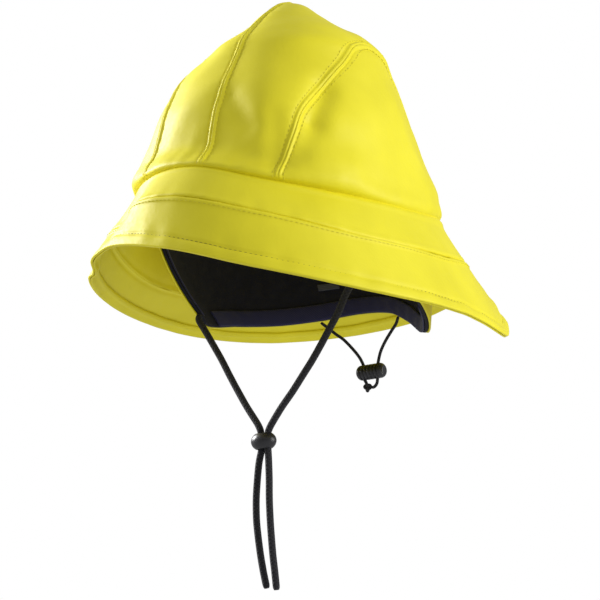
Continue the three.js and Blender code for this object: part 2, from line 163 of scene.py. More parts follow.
def tube(name, line, diameter, material, sides=14, closed=False, tip=0.5):
    """A cord along a line, with slightly rounded tips and a UV map that runs along it."""
    line = np.asarray(line, float)
    count = len(line)
    ahead = np.roll(line, -1, 0) - np.roll(line, 1, 0)
    if not closed:
        ahead[0], ahead[-1] = line[1] - line[0], line[-1] - line[-2]
    ahead /= np.linalg.norm(ahead, axis=1)[:, None]
    across = np.cross(ahead, NO_CORD_RUNS_THIS_WAY)
    across /= np.linalg.norm(across, axis=1)[:, None]
    other = np.cross(ahead, across)
    run = np.concatenate([[0], np.cumsum(np.linalg.norm(np.diff(line, axis=0), axis=1))])
    from_end = np.minimum(run, run[-1] - run)
    round_off = np.clip(from_end / (tip * diameter), 0, 1)
    rounded = np.ones(count) if closed else TIP_SHARE + (1 - TIP_SHARE) * np.sqrt(round_off)
    radius = diameter / 2 * rounded
    turn_angles = np.arange(sides)[:, None] / sides * 2 * np.pi
    ring = np.cos(turn_angles) * across[:, None] + np.sin(turn_angles) * other[:, None]
    points = (line[:, None] + ring * radius[:, None, None]).reshape(-1, 3)
    faces, uv = [], []
    around = math.pi * diameter / sides * MM
    rows = count if closed else count - 1
    for j in range(rows):
        k = (j + 1) % count
        v0 = run[j] * MM
        v1 = (run[j + 1] if j + 1 < count else run[j] + 1) * MM
        for i in range(sides):
            n = (i + 1) % sides
            u0, u1 = i * around, (i + 1) * around
            faces.append((j * sides + i, j * sides + n, k * sides + n, k * sides + i))
            uv.append(((u0, v0), (u1, v0), (u1, v1), (u0, v1)))
    if not closed:
        for last, flip in ((0, True), (count - 1, False)):
            cap = [last * sides + i for i in range(sides)]
            faces.append(tuple(reversed(cap)) if flip else tuple(cap))
            uv.append(tuple((i * around, run[last] * MM) for i in range(sides)))
    return mesh_object(name, points, faces, uv, material)


# Black polyester braid, dull and soft. Its strands cross at about 48 degrees; the real ones are
# 0.5 mm wide and are drawn 0.9 mm wide here so that they show. A wave texture at scale 1 repeats
# about every 0.32 units, and two strands make one wave.
STRAND = 0.9 * MM
STRAND_LAY = 48
WAVE_REPEAT = 0.32
braid, shader = new_material("black_polyester_braid", "#16161B", 0.9)
uv_map = add_node(braid, "ShaderNodeUVMap", uv_map="cloth")
strand_waves = []
for lay in (STRAND_LAY, -STRAND_LAY):
    turned = add_node(braid, "ShaderNodeMapping", {
        "Vector": uv_map.outputs["UV"], "Rotation": (0, 0, math.radians(lay)),
    })
    wave = add_node(braid, "ShaderNodeTexWave", {
        "Vector": turned.outputs["Vector"], "Scale": WAVE_REPEAT / (2 * STRAND),
    })
    strand_waves.append(wave.outputs["Fac"])
weave = add_node(braid, "ShaderNodeMath", {
    0: strand_waves[0], 1: strand_waves[1],
}, operation="MAXIMUM")
tint = add_node(braid, "ShaderNodeMixRGB", {
    "Fac": weave.outputs["Value"], "Color1": linear("#0C0C10"), "Color2": linear("#1F1F26"),
})
relief = add_node(braid, "ShaderNodeBump", {
    "Height": weave.outputs["Value"], "Strength": 0.8, "Distance": 0.35 * MM,
})
join(braid, tint.outputs["Color"], shader, "Base Color")
join(braid, relief.outputs["Normal"], shader, "Normal")
shader.inputs["Sheen Weight"].default_value = 0.08

CHIN_CORD = 4.2
CHIN_RUN_RIGHT = [
    (-63.4, -1.6, -64.0), (-62.4, -2.5, -67.4), (-56.6, -4.4, -73.2), (-48.9, -5.4, -82.2),
    (-40.7, -6.4, -92.1), (-33.3, -7.4, -101.8), (-25.6, -8.4, -111.5), (-17.7, -9.4, -121.0),
    (-9.4, -10.2, -130.2), (-6.9, -10.5, -133.6), (-6.1, -10.6, -135.3), (-5.4, -10.7, -137.2),
]
CHIN_RUN_LEFT = [
    (58.6, -17.6, -48.2), (57.2, -17.6, -50.4), (52.6, -17.6, -58.0), (48.6, -17.4, -67.1),
    (43.2, -17.2, -76.1), (37.5, -16.6, -85.1), (31.4, -15.9, -94.1), (24.6, -15.2, -103.1),
    (17.6, -14.4, -112.2), (9.7, -13.3, -121.3), (2.7, -12.0, -130.3), (0.7, -11.5, -133.2),
    (0.0, -11.3, -134.5), (-1.2, -11.1, -136.8),
]
CHIN_TAIL_RIGHT = [
    (-4.6, -10.7, -144.4), (-4.9, -10.6, -146.6), (-6.2, -10.5, -153.5), (-6.8, -10.4, -162.7),
    (-7.0, -10.3, -174.2), (-6.1, -10.3, -185.6), (-4.5, -10.3, -194.7), (-1.9, -10.4, -205.9),
    (1.0, -10.6, -215.9), (4.2, -10.8, -225.3),
]
CHIN_TAIL_LEFT = [
    (-0.6, -11.0, -143.4), (0.1, -11.1, -145.5), (1.2, -11.2, -153.5), (2.2, -11.3, -162.7),
    (3.1, -11.4, -174.2), (4.5, -11.5, -185.6), (5.9, -11.6, -194.7), (7.9, -11.8, -205.9),
    (10.1, -12.0, -216.0), (12.1, -12.2, -225.9),
]


def hang_cord(name, node, route, diameter, material):
    """A cord that stands for its CAD tube and rides on the hat."""
    line = smooth_path(route, 0.9)
    piece = tube(name, line, diameter, material)
    add_to_hat(piece, node)


# The oval chin lock is a moulded nylon bead with two cord holes through it from top to bottom.
# It is cut from a ball, squashed front to back, with flat mouths where the cords go in.
def deselect_all():
    for other in bpy.context.selected_objects:
        other.select_set(False)


def start_piece(name):
    """Names the primitive that was just added and opens it for editing."""
    piece = bpy.context.active_object
    piece.name = name
    piece.data.name = name
    bpy.ops.object.mode_set(mode="EDIT")
    return piece


def apply_place(piece):
    """Puts the object's own place into its mesh, so that it sits at the origin."""
    deselect_all()
    piece.select_set(True)
    bpy.context.view_layer.objects.active = piece
    bpy.ops.object.transform_apply(location=True, rotation=True, scale=True)


def soften_edges(piece, width, sharpest):
    """Rounds every edge that turns more than `sharpest` degrees."""
    soften = piece.modifiers.new("soften", "BEVEL")
    soften.width = width * MM
    soften.segments = 3
    soften.limit_method = "ANGLE"
    soften.angle_limit = math.radians(sharpest)
    bpy.ops.object.modifier_apply(modifier="soften")


def pick_faces(piece, test):
    """Selects only the faces whose middle and normal pass the test, in edit mode."""
    bpy.ops.mesh.select_mode(type="FACE")
    bpy.ops.mesh.select_all(action="DESELECT")
    bpy.ops.object.mode_set(mode="OBJECT")
    for face in piece.data.polygons:
        face.select = test(face.center, face.normal)
    bpy.ops.object.mode_set(mode="EDIT")


# Moulded black nylon, satin, with the fine grain of its steel mould and duller and glossier spots
# where fingers have rubbed it.
nylon, shader = new_material("black_moulded_nylon", "#1E1E23", 0.38)
nylon_place = add_node(nylon, "ShaderNodeTexCoord")
nylon_grain = add_node(nylon, "ShaderNodeTexNoise", {
    "Vector": nylon_place.outputs["Object"], "Scale": 1400.0, "Detail": 3.0,
})
nylon_wear = add_node(nylon, "ShaderNodeTexNoise", {
    "Vector": nylon_place.outputs["Object"], "Scale": 160.0, "Detail": 2.0,
})
nylon_rough = add_node(nylon, "ShaderNodeMapRange", {
    "Value": nylon_wear.outputs["Fac"], "To Min": 0.28, "To Max": 0.46,
})
nylon_bump = add_node(nylon, "ShaderNodeBump", {
    "Height": nylon_grain.outputs["Fac"], "Strength": 0.35, "Distance": 0.12 * MM,
})
join(nylon, nylon_rough.outputs["Result"], shader, "Roughness")
join(nylon, nylon_bump.outputs["Normal"], shader, "Normal")

CHIN_LOCK_PLACE = (-3.4, -10.9, -140.8)
CHIN_LOCK_SIZE = (16.4, 11.8, 11.8)
CHIN_LOCK_MOUTH = 4.6
CHIN_LOCK_MOUTH_DEPTH = 0.9
CHIN_LOCK_LIP = 0.7
CHIN_LOCK_TILT = math.radians(-8)
deselect_all()
bpy.ops.mesh.primitive_uv_sphere_add(segments=48, ring_count=28, radius=0.5)
chin_lock = start_piece("chin_lock_bead")
bpy.ops.transform.resize(value=tuple(s * MM for s in CHIN_LOCK_SIZE))
for side in (1, -1):
    bpy.ops.mesh.select_all(action="SELECT")
    bpy.ops.mesh.bisect(
        plane_co=(0, 0, side * CHIN_LOCK_MOUTH * MM), plane_no=(0, 0, side),
        use_fill=True, clear_outer=True,
    )
    nearly = 0.98
    mouth = CHIN_LOCK_MOUTH * nearly * MM
    pick_faces(chin_lock, lambda middle, facing: facing.z * side > nearly and middle.z * side > mouth)
    bpy.ops.mesh.inset(thickness=CHIN_LOCK_LIP * MM)
    bpy.ops.mesh.extrude_region_move(
        TRANSFORM_OT_translate={"value": (0, 0, -side * CHIN_LOCK_MOUTH_DEPTH * MM)},
    )
bpy.ops.object.mode_set(mode="OBJECT")
soften_edges(chin_lock, 0.35, 35)
chin_lock.data.transform(Matrix.Rotation(CHIN_LOCK_TILT, 4, "Y"))
chin_lock.data.transform(Matrix.Translation(Vector(CHIN_LOCK_PLACE) * MM))
apply_place(chin_lock)
chin_lock.data.shade_smooth()
chin_lock.data.materials.append(nylon)
add_to_hat(chin_lock, "chin_cord_lock")

for node, route, far_end, on_it in (
    ("chin_cord_right", CHIN_RUN_RIGHT, "fitting", [chin_lock]),
    ("chin_cord_left", CHIN_RUN_LEFT, "fitting", [chin_lock]),
    ("chin_tail_right", CHIN_TAIL_RIGHT, "bare", []),
    ("chin_tail_left", CHIN_TAIL_LEFT, "bare", []),
):
    hang_cord(node + "_braid", node, route, CHIN_CORD, braid)

# The nape drawcord is a thin braid that comes out of the casing in two strands. Both go through a
# ribbed barrel lock, and a knotted loop below it keeps the lock on.
DRAW_CORD = 2.0
DRAW_STRAND_RIGHT = [
    (-30.0, 82.2, -58.7), (-26.6, 84.6, -61.6), (-20.9, 87.0, -66.0), (-15.2, 87.0, -69.4),
    (-8.1, 87.0, -75.4), (-2.8, 87.0, -80.8), (0.3, 87.0, -85.5), (1.5, 87.0, -88.2),
]
DRAW_STRAND_LEFT = [
    (25.0, 86.0, -55.7), (23.2, 86.8, -60.0), (20.1, 87.0, -64.3), (15.7, 87.0, -71.0),
    (12.6, 87.0, -77.6), (11.2, 87.0, -84.2), (10.8, 87.0, -87.2),
]
DRAW_LOOP = [
    (7.4, 87.0, -99.8), (9.2, 87.0, -99.4), (10.6, 87.0, -98.0), (11.2, 87.0, -96.4),
    (11.3, 87.0, -94.6), (11.3, 87.0, -92.4),
]
DRAW_STUB = [
    (1.4, 87.0, -93.2), (2.1, 87.0, -95.3), (2.6, 87.0, -96.1), (3.2, 87.0, -96.9),
    (3.8, 87.0, -98.4),
]
BARREL_PLACE = (6.6, 87.0, -89.9)
BARREL_LENGTH = 19.4
BARREL_RADIUS = 4.8
BARREL_RIBS = 5
BARREL_GROOVE = 0.17
BARREL_GROOVE_WIDTH = 0.24
BARREL_RIBBED_SHARE = 0.62
BARREL_ROUND_FROM = 0.66
BARREL_ROUNDING = 0.72
BARREL_END_CUTS = (0.72, 0.8, 0.87, 0.93, 0.97)
BARREL_TILT = math.radians(83)
deselect_all()
bpy.ops.mesh.primitive_cylinder_add(vertices=40, radius=BARREL_RADIUS * MM, depth=BARREL_LENGTH * MM)
barrel = start_piece("draw_lock_barrel")
rib_pitch = BARREL_LENGTH * BARREL_RIBBED_SHARE / BARREL_RIBS
groove_reach = BARREL_GROOVE_WIDTH * rib_pitch
for side in (1, -1):
    for share in BARREL_END_CUTS:
        bpy.ops.mesh.select_all(action="SELECT")
        height = side * share * BARREL_LENGTH / 2
        bpy.ops.mesh.bisect(plane_co=(0, 0, height * MM), plane_no=(0, 0, 1))
groove_heights = [(rib - BARREL_RIBS / 2) * rib_pitch for rib in range(BARREL_RIBS + 1)]
for groove in groove_heights:
    for edge in (-1, -0.5, 0, 0.5, 1):
        bpy.ops.mesh.select_all(action="SELECT")
        bpy.ops.mesh.bisect(plane_co=(0, 0, (groove + edge * groove_reach) * MM), plane_no=(0, 0, 1))
bpy.ops.object.mode_set(mode="OBJECT")
soften_edges(barrel, 0.45, 40)
for corner in barrel.data.vertices:
    end_share = abs(corner.co.z) / (BARREL_LENGTH * MM / 2)
    past_ribs = max(0, end_share - BARREL_ROUND_FROM) / (1 - BARREL_ROUND_FROM)
    rounding = math.sqrt(max(0.0, 1 - BARREL_ROUNDING * past_ribs ** 2.4))
    from_groove = min(abs(corner.co.z / MM - groove) for groove in groove_heights)
    rounding -= BARREL_GROOVE * max(0, 1 - (from_groove / groove_reach) ** 2)
    corner.co.x *= rounding
    corner.co.y *= rounding
barrel.data.transform(Matrix.Rotation(BARREL_TILT, 4, "Y"))
barrel.data.transform(Matrix.Translation(Vector(BARREL_PLACE) * MM))
apply_place(barrel)
barrel.data.shade_smooth()
barrel.data.materials.append(nylon)
add_to_hat(barrel, "draw_cord_lock")

KNOT_PLACE = (4.4, 87.0, -99.8)
KNOT_SIZE = 0.72
turns = np.arange(60) / 60 * 2 * np.pi
trefoil = np.stack([
    np.sin(turns) + 2 * np.sin(2 * turns),
    0.9 * np.sin(3 * turns),
    np.cos(turns) - 2 * np.cos(2 * turns),
], -1) * KNOT_SIZE
knot = tube("draw_knot", trefoil + np.array(KNOT_PLACE), DRAW_CORD, braid, closed=True)
add_to_hat(knot, "draw_cord_knot")
draw_loop = tube("draw_loop_braid", smooth_path(DRAW_LOOP, 0.4), DRAW_CORD, braid)
add_to_hat(draw_loop, "draw_cord_loop")
draw_stub = tube("draw_stub_braid", smooth_path(DRAW_STUB, 0.3), DRAW_CORD, braid)
add_to_hat(draw_stub, "draw_cord_stub")
for node, route, on_it in (
    ("draw_cord_right", DRAW_STRAND_RIGHT, [barrel, draw_stub, draw_loop, knot]),
    ("draw_cord_left", DRAW_STRAND_LEFT, [barrel]),
):
    hang_cord(node + "_braid", node, route, DRAW_CORD, braid)

# The crown is four panels of hi-vis coated knit: two long strips over the head, joined by a middle
# seam, and a side panel over each ear. Level sections and the wavy crown seam give its shape.
HEAD_HALF_WIDTH = 85
HEAD_HALF_LENGTH = 98
SHELL_CLOTH = 1.5
SEAM_WAVE_HEIGHT = 70
BRIM_COLUMNS = ("angle", "seam_z", "band_out", "band_z", "rim_out", "rim_z")
BRIM_SECTIONS = [
    (0, 5, 16, -14, 24, -44),
    (30, -2.5, 16, -23, 28, -55),
    (60, -7, 16, -31, 32, -63),
    (90, -8, 16, -32.5, 36, -66.5),
    (120, -4, 16, -29, 43.5, -71.5),
    (150, 1, 18, -24, 45, -36),
    (180, 3, 18, -28, 44, -51),
    (210, 0, 18, -38, 47, -63.5),
    (240, -4.5, 17, -45, 45, -67),
    (270, -7, 16, -43, 36, -61.5),
    (300, -4, 16, -30, 30, -52),
    (330, 2.5, 16, -17, 25, -40),
]
CROWN_COLUMNS = ("height", "side", "length", "middle", "square")
CROWN_SECTIONS = [
    (0, 85, 98, 0, 2.0),
    (3, 85.5, 97, -1.5, 2.1),
    (8, 84, 92.5, -1.5, 2.25),
    (16, 82, 88.75, -0.25, 2.35),
    (28, 77.5, 84.25, -2.25, 2.3),
    (42, 72.5, 79.25, -4.25, 2.3),
    (56, 67.5, 73, -4.5, 2.1),
    (68, 63, 66.25, -4.25, 2.0),
    (78, 59.5, 60, -4.5, 2.0),
    (88, 55, 53.25, -5.25, 2.1),
    (96, 47.5, 45.5, -5.5, 2.0),
    (104, 35.5, 36.25, -5.75, 2.0),
    (112, 22, 26.25, -6.25, 2.0),
    (119, 11, 13.5, -7.5, 2.0),
    (121.5, 0.01, 5, -8, 2.0),
]


def brim_value(name, degrees):
    """A named column of the brim table at any angle."""
    column = np.array(BRIM_SECTIONS, float)[:, BRIM_COLUMNS.index(name)]
    place = np.mod(degrees, 360) / 30
    row = np.floor(place).astype(int)
    four = [column[(row + k) % len(column)] for k in (-1, 0, 1, 2)]
    return blend4(*four, place - row)


def crown_value(name, level):
    """A named column of the crown table at any level, where 1 is its second row."""
    column = np.array(CROWN_SECTIONS, float)[:, CROWN_COLUMNS.index(name)]
    last = len(column) - 1
    row = np.minimum(np.floor(level).astype(int), last - 1)
    four = [column[np.clip(row + k, 0, last)] for k in (-1, 0, 1, 2)]
    return blend4(*four, level - row)


def oval_point(degrees, out, z):
    """A point beside the crown seam's oval, `out` millimetres outside it in plan."""
    a = np.radians(degrees)
    x, y = np.sin(a), -np.cos(a)
    nx, ny = x / HEAD_HALF_WIDTH, y / HEAD_HALF_LENGTH
    size = np.hypot(nx, ny)
    across = HEAD_HALF_WIDTH * x + out * nx / size
    along = HEAD_HALF_LENGTH * y + out * ny / size
    return np.stack([across, along, z + 0 * x], -1)


def crown_point(degrees, level):
    """A point on the crown's plain shape, round from the brow and up through the table's rows."""
    a = np.radians(degrees)
    s, c = np.sin(a), np.cos(a)
    power = 2 / crown_value("square", level)
    height = crown_value("height", level)
    wave = brim_value("seam_z", degrees) * np.maximum(0, 1 - height / SEAM_WAVE_HEIGHT)
    x = crown_value("side", level) * np.sign(s) * np.abs(s) ** power
    y = crown_value("middle", level) - crown_value("length", level) * np.sign(c) * np.abs(c) ** power
    return np.stack([x, y, height + wave], -1)


def angle_at_x(x, level, nape):
    """The angle at which a crown level crosses the upright plane at x."""
    share = np.minimum(1, np.abs(x) / crown_value("side", level))
    front = np.degrees(np.arcsin(share ** (crown_value("square", level) / 2)))
    left = np.where(nape, 180 - front, front)
    return np.where(x < 0, 360 - left, left)


def top_level_at_x(x):
    """The level at which the crown is just wide enough to reach x."""
    low = np.full(np.shape(x), 2.0)
    high = np.full(np.shape(x), len(CROWN_SECTIONS) - 1.0)
    for _ in range(40):
        middle = (low + high) / 2
        reaches = crown_value("side", middle) > np.abs(x)
        low, high = np.where(reaches, middle, low), np.where(reaches, high, middle)
    return low


def grid_normals(points, wrap):
    """Outward normals of a grid of points; its first axis is v, its second is u."""
    if wrap:
        along_u = np.roll(points, -1, 1) - np.roll(points, 1, 1)
    else:
        along_u = np.gradient(points, axis=1)
    along_v = np.gradient(points, axis=0)
    normal = np.cross(along_u, along_v)
    size = np.linalg.norm(normal, axis=-1, keepdims=True)
    return normal / np.maximum(size, 1e-9)


def waves(points, pitch, seed):
    """Soft irregular waves from -1 to 1, about `pitch` millimetres apart."""
    rng = np.random.default_rng(seed)
    total = 0
    for _ in range(7):
        way = rng.normal(size=3)
        way /= np.linalg.norm(way)
        own_pitch = pitch * rng.uniform(0.75, 1.35)
        total = total + np.sin(points @ way * 2 * np.pi / own_pitch + rng.uniform(0, 6.3))
    return total / 3.2


def wall(name, outer, thickness, material, wrap=False, facing=None, edge_round=0.45):
    """A closed wall of cloth from its outer face, with softened edges and a UV map in metres."""
    rows, columns = outer.shape[:2]
    normal = grid_normals(outer, wrap) if facing is None else facing
    inner = outer - normal * thickness
    run_u = np.cumsum(np.linalg.norm(np.diff(outer, axis=1), axis=2).mean(0))
    run_v = np.cumsum(np.linalg.norm(np.diff(outer, axis=0), axis=2).mean(1))
    u = np.concatenate([[0], run_u]) * MM
    v = np.concatenate([[0], run_v]) * MM
    soft = edge_round * thickness * 0.5
    outer = outer.copy()
    for edge in (0, -1):
        outer[edge] -= normal[edge] * soft
        inner[edge] += normal[edge] * soft
        if not wrap:
            outer[:, edge] -= normal[:, edge] * soft
            inner[:, edge] += normal[:, edge] * soft
    points = np.vstack([outer.reshape(-1, 3), inner.reshape(-1, 3)])
    shift = rows * columns
    across = columns if wrap else columns - 1
    faces, uv = [], []

    def quad(corners, where):
        faces.append(corners)
        uv.append(where)

    for j in range(rows - 1):
        for i in range(across):
            n = (i + 1) % columns
            u1 = u[i + 1] if i + 1 < columns else u[i] + u[1]
            a, b, c, d = j * columns + i, j * columns + n, (j + 1) * columns + n, (j + 1) * columns + i
            where = ((u[i], v[j]), (u1, v[j]), (u1, v[j + 1]), (u[i], v[j + 1]))
            quad((a, b, c, d), where)
            quad((d + shift, c + shift, b + shift, a + shift), where[::-1])
    for i in range(across):
        n = (i + 1) % columns
        u1 = u[i + 1] if i + 1 < columns else u[i] + u[1]
        last = (rows - 1) * columns
        low = ((u1, 0), (u[i], 0), (u[i], -thickness * MM), (u1, -thickness * MM))
        quad((n, i, i + shift, n + shift), low)
        quad((last + i, last + n, last + n + shift, last + i + shift), low[::-1])
    if not wrap:
        for j in range(rows - 1):
            a, b = j * columns, (j + 1) * columns
            c, d = a + columns - 1, b + columns - 1
            thin = ((0, v[j]), (0, v[j + 1]), (-thickness * MM, v[j + 1]), (-thickness * MM, v[j]))
            quad((a, b, b + shift, a + shift), thin)
            quad((d, c, c + shift, d + shift), thin[::-1])
    return mesh_object(name, points, faces, uv, material)


def dress(piece, node):
    """Puts a cloth piece on the hat. A sheet is declared at least 10 mm wide and long."""
    add_to_hat(piece, node)


# Polyurethane-coated polyester knit in hi-vis yellow. The coating is satin and a little rubbery,
# with a fine leathery grain of about 0.7 mm and soft cloudy variation where the cloth is creased.
GRAIN = 0.7 * MM
coated, shader = new_material("pu_coated_hi_vis_knit", "#EFE83A", 0.55)
place = add_node(coated, "ShaderNodeTexCoord")
grain = add_node(coated, "ShaderNodeTexVoronoi", {
    "Vector": place.outputs["Object"], "Scale": 1 / GRAIN,
})
pebble = add_node(coated, "ShaderNodeTexNoise", {
    "Vector": place.outputs["Object"], "Scale": 420.0, "Detail": 4.0,
})
cloud = add_node(coated, "ShaderNodeTexNoise", {
    "Vector": place.outputs["Object"], "Scale": 24.0, "Detail": 3.0,
})
tone = add_node(coated, "ShaderNodeValToRGB", {"Fac": cloud.outputs["Fac"]})
tone.color_ramp.elements[0].position = 0.3
tone.color_ramp.elements[0].color = linear("#E4D91A")
tone.color_ramp.elements[1].position = 0.7
tone.color_ramp.elements[1].color = linear("#F0E522")
sheen_map = add_node(coated, "ShaderNodeMapRange", {
    "Value": pebble.outputs["Fac"], "To Min": 0.46, "To Max": 0.66,
})
fine = add_node(coated, "ShaderNodeBump", {
    "Height": grain.outputs["Distance"], "Strength": 0.25, "Distance": 0.12 * MM,
})
soft_bump = add_node(coated, "ShaderNodeBump", {
    "Height": pebble.outputs["Fac"], "Strength": 0.3, "Distance": 0.3 * MM,
    "Normal": fine.outputs["Normal"],
})
join(coated, tone.outputs["Color"], shader, "Base Color")
join(coated, sheen_map.outputs["Result"], shader, "Roughness")
join(coated, soft_bump.outputs["Normal"], shader, "Normal")
shader.inputs["Specular IOR Level"].default_value = 0.45

# Soft hollows and ridges in the crown's cloth: where each starts and ends, how wide it is and how
# deep. A negative depth is a ridge.
CROWN_FOLDS = [
    ((54, -50, 56), (56, -63, 36), 8, 4.6),
    ((12, -81, 40), (17, -87, 22), 15, 1.6),
    ((9, -79, 48), (26, -82, 30), 7, 2.0),
    ((38, -76, 34), (44, -79, 12), 7, 1.5),
    ((57, -64, 30), (56, -73, 16), 7, 1.3),
    ((30, -86, 12), (42, -80, 6), 7, 1.5),
    ((-27, -39, 99), (-34, -44, 92), 16, 7.2),
    ((-38, -57, 70), (-47, -62, 50), 12, -1.8),
    ((-54, -67, 30), (-59, -72, 10), 14, -1.5),
    ((15, -3, 116), (28, -3, 108), 9, 2.0),
    ((44, 1, 98), (48, 12, 93), 10, -2.0),
    ((62, -68, 10), (72, -50, 8), 9, -1.6),
    ((24, -66, 64), (32, -76, 34), 12, -1.6),
    ((74, -20, 30), (76, 0, 60), 20, -1.5),
    ((66, 30, 40), (60, 50, 10), 16, 2.0),
    ((-66, 30, 44), (-62, 50, 14), 16, 2.0),
    ((10, 72, 60), (6, 88, 20), 14, 2.0),
]


def to_segment(points, start, end):
    """The distance of each point from a straight line between two places."""
    start, end = np.array(start, float), np.array(end, float)
    along = end - start
    t = np.clip(((points - start) @ along) / (along @ along), 0, 1)
    return np.linalg.norm(points - start - t[..., None] * along, axis=-1)


def ridge(distance, width, steepness=2):
    """The height of a ridge, 1 on its crest, that fades over `width` millimetres."""
    return np.exp(-(distance / width) ** steepness)


WELT_HEIGHT = 1.15
WELT_WIDTH = 1.8
STITCH_DENT_FROM_SEAM = 2.6
PUCKER_PITCH = 7.5


def seam_relief(distance, along):
    """The height of the cloth beside a felled seam: a raised cord with a row of stitches each side."""
    welt = WELT_HEIGHT * ridge(distance, WELT_WIDTH, 4)
    groove = -0.5 * ridge(distance, 0.4)
    stitched = -0.3 * ridge(distance - STITCH_DENT_FROM_SEAM, 0.6)
    pucker = 0.1 * np.sin(along * 2 * np.pi / PUCKER_PITCH) * ridge(distance - 4, 3)
    pulled = -0.9 * np.exp(-distance / 8)
    return welt + groove + stitched + pucker + pulled


def crown_relief(points, seams, along):
    """How far the crown's cloth stands off its plain shape, in millimetres."""
    relief = 0.7 * waves(points, 62, 4) + 0.35 * waves(points, 26, 9)
    for start, end, width, depth in CROWN_FOLDS:
        relief = relief - depth * ridge(to_segment(points, start, end), width)
    for distance in seams:
        relief = relief + seam_relief(distance, along)
    angle = np.arctan2(points[..., 0] / HEAD_HALF_WIDTH, -points[..., 1] / HEAD_HALF_LENGTH)
    base = np.clip(points[..., 2] - brim_value("seam_z", np.degrees(angle)), 0, None)
    gathers = np.sin(angle * 31 + 2 * np.sin(angle * 5)) + 0.6 * np.sin(angle * 53 + 1.3)
    puff = ridge(base - 6, 5) - 0.5 * ridge(base, 1.4)
    free = 1 - ridge(base, 4)
    return free * (relief + 0.22 * gathers * np.exp(-base / 10)) + puff


def eased(count, strength=0.75):
    """Places from 0 to 1 that lie closer together near both ends."""
    even = np.linspace(0, 1, count)
    return (1 - strength) * even + strength * (0.5 - 0.5 * np.cos(np.pi * even))


# The middle seam swings to the wearer's left at the brow. The side seams aren't quite alike: the
# one on the wearer's left spreads over the top, and the other lies a little further in.
MIDDLE_SEAM = (
    (0, 7), (0.02, 6.6), (0.07, 2.6), (0.2, 1.5), (0.24, -1), (0.31, -4), (0.38, -3), (0.5, 0), (1, 0),
)
LEFT_SEAM = (
    (0, 48), (0.2, 48.5), (0.35, 50.3), (0.5, 52.5),
    (0.62, 53.7), (0.75, 53.8), (0.88, 52.8), (1, 51.5),
)
RIGHT_SEAM_X = 42


def table_line(table, at):
    """A softened reading of a table of (place, value) pairs."""
    places, values = zip(*table)
    shifts = (-0.03, -0.015, 0, 0.015, 0.03)
    return sum(np.interp(at + shift, places, values) for shift in shifts) / len(shifts)


def middle_seam_x(v):
    """Where the middle seam lies; v is 0 at the brow and 1 at the nape."""
    return table_line(MIDDLE_SEAM, v)


def side_seam_x(side, rise):
    """The distance from the middle to a side seam; rise is 0 at the brow or nape, 1 on top."""
    return table_line(LEFT_SEAM, rise) if side > 0 else RIGHT_SEAM_X + 0 * rise


def seam_tilt(normal):
    """How much of a step across the cloth shows in x, and never too little to divide by."""
    return np.maximum(0.35, np.sqrt(1 - normal[..., 0] ** 2))


def sew_panel(node, plain, seam_distances, along):
    """A crown panel of coated knit, raised and sunk from its plain shape, beside its seams."""
    normal = grid_normals(plain, False)
    seams = [distance / seam_tilt(normal) for distance in seam_distances]
    outer = plain + normal * crown_relief(plain, seams, along)[..., None]
    piece = wall(node + "_cloth", outer, SHELL_CLOTH, coated)
    dress(piece, node)


STRIP_COLUMNS = 56
STRIP_ROWS = 330
SEAM_OVERLAP = 0.25
for side, node in ((1, "crown_strip_left"), (-1, "crown_strip_right")):
    across = eased(STRIP_COLUMNS) if side > 0 else 1 - eased(STRIP_COLUMNS)
    v = np.linspace(0, 1, STRIP_ROWS)[:, None]
    rise = 1 - np.abs(2 * v - 1)
    middle, edge = middle_seam_x(v), side * side_seam_x(side, rise)
    inner_edge, outer_edge = middle - side * SEAM_OVERLAP, edge + side * SEAM_OVERLAP
    x = inner_edge + across[None, :] * (outer_edge - inner_edge)
    level = top_level_at_x(x) * np.sin(rise * np.pi / 2)
    plain = crown_point(angle_at_x(x, level, v > 0.5), level)
    along = np.cumsum(np.linalg.norm(np.diff(plain, axis=0, prepend=plain[:1]), axis=2), axis=0)
    sew_panel(node, plain, [np.abs(x - middle), np.abs(x - edge)], along)

SIDE_COLUMNS = 150
SIDE_ROWS = 110
for side, node in ((1, "crown_side_left"), (-1, "crown_side_right")):
    rise = np.linspace(0, 1, 400)
    edge_at = side_seam_x(side, rise)
    level_at = top_level_at_x(edge_at) * np.sin(rise * np.pi / 2)
    level = np.linspace(0, 0.999, SIDE_ROWS)[:, None] * level_at[-1]
    edge = np.minimum(np.interp(level, level_at, edge_at), crown_value("side", level) - 0.01)
    brow = angle_at_x(edge, level, False)
    nape = angle_at_x(edge, level, True)
    across = eased(SIDE_COLUMNS) if side > 0 else 1 - eased(SIDE_COLUMNS)
    angle = brow + (nape - brow) * across[None, :]
    plain = crown_point(angle if side > 0 else 360 - angle, level + 0 * angle)
    along = plain[..., 2] * 1.1 + 0.4 * plain[..., 1]
    sew_panel(node, plain, [np.abs(plain[..., 0]) - edge], along)


# The band slopes out from the crown seam, and the brim carries on below the band seam. The rim's
# cloth is turned under and stitched 7 mm above the edge, which makes the rim ripple.
def brim_surface(degrees, place):
    """The brim's plain face: place is 0 at the crown seam, 1 at the band seam, 2 at the rim."""
    band = place <= 1
    share = np.where(band, place, place - 1)
    out0 = np.where(band, 0, brim_value("band_out", degrees))
    out1 = np.where(band, brim_value("band_out", degrees), brim_value("rim_out", degrees))
    z0 = np.where(band, brim_value("seam_z", degrees), brim_value("band_z", degrees))
    z1 = np.where(band, brim_value("band_z", degrees), brim_value("rim_z", degrees))
    return oval_point(degrees + 0 * place, out0 + (out1 - out0) * share, z0 + (z1 - z0) * share)


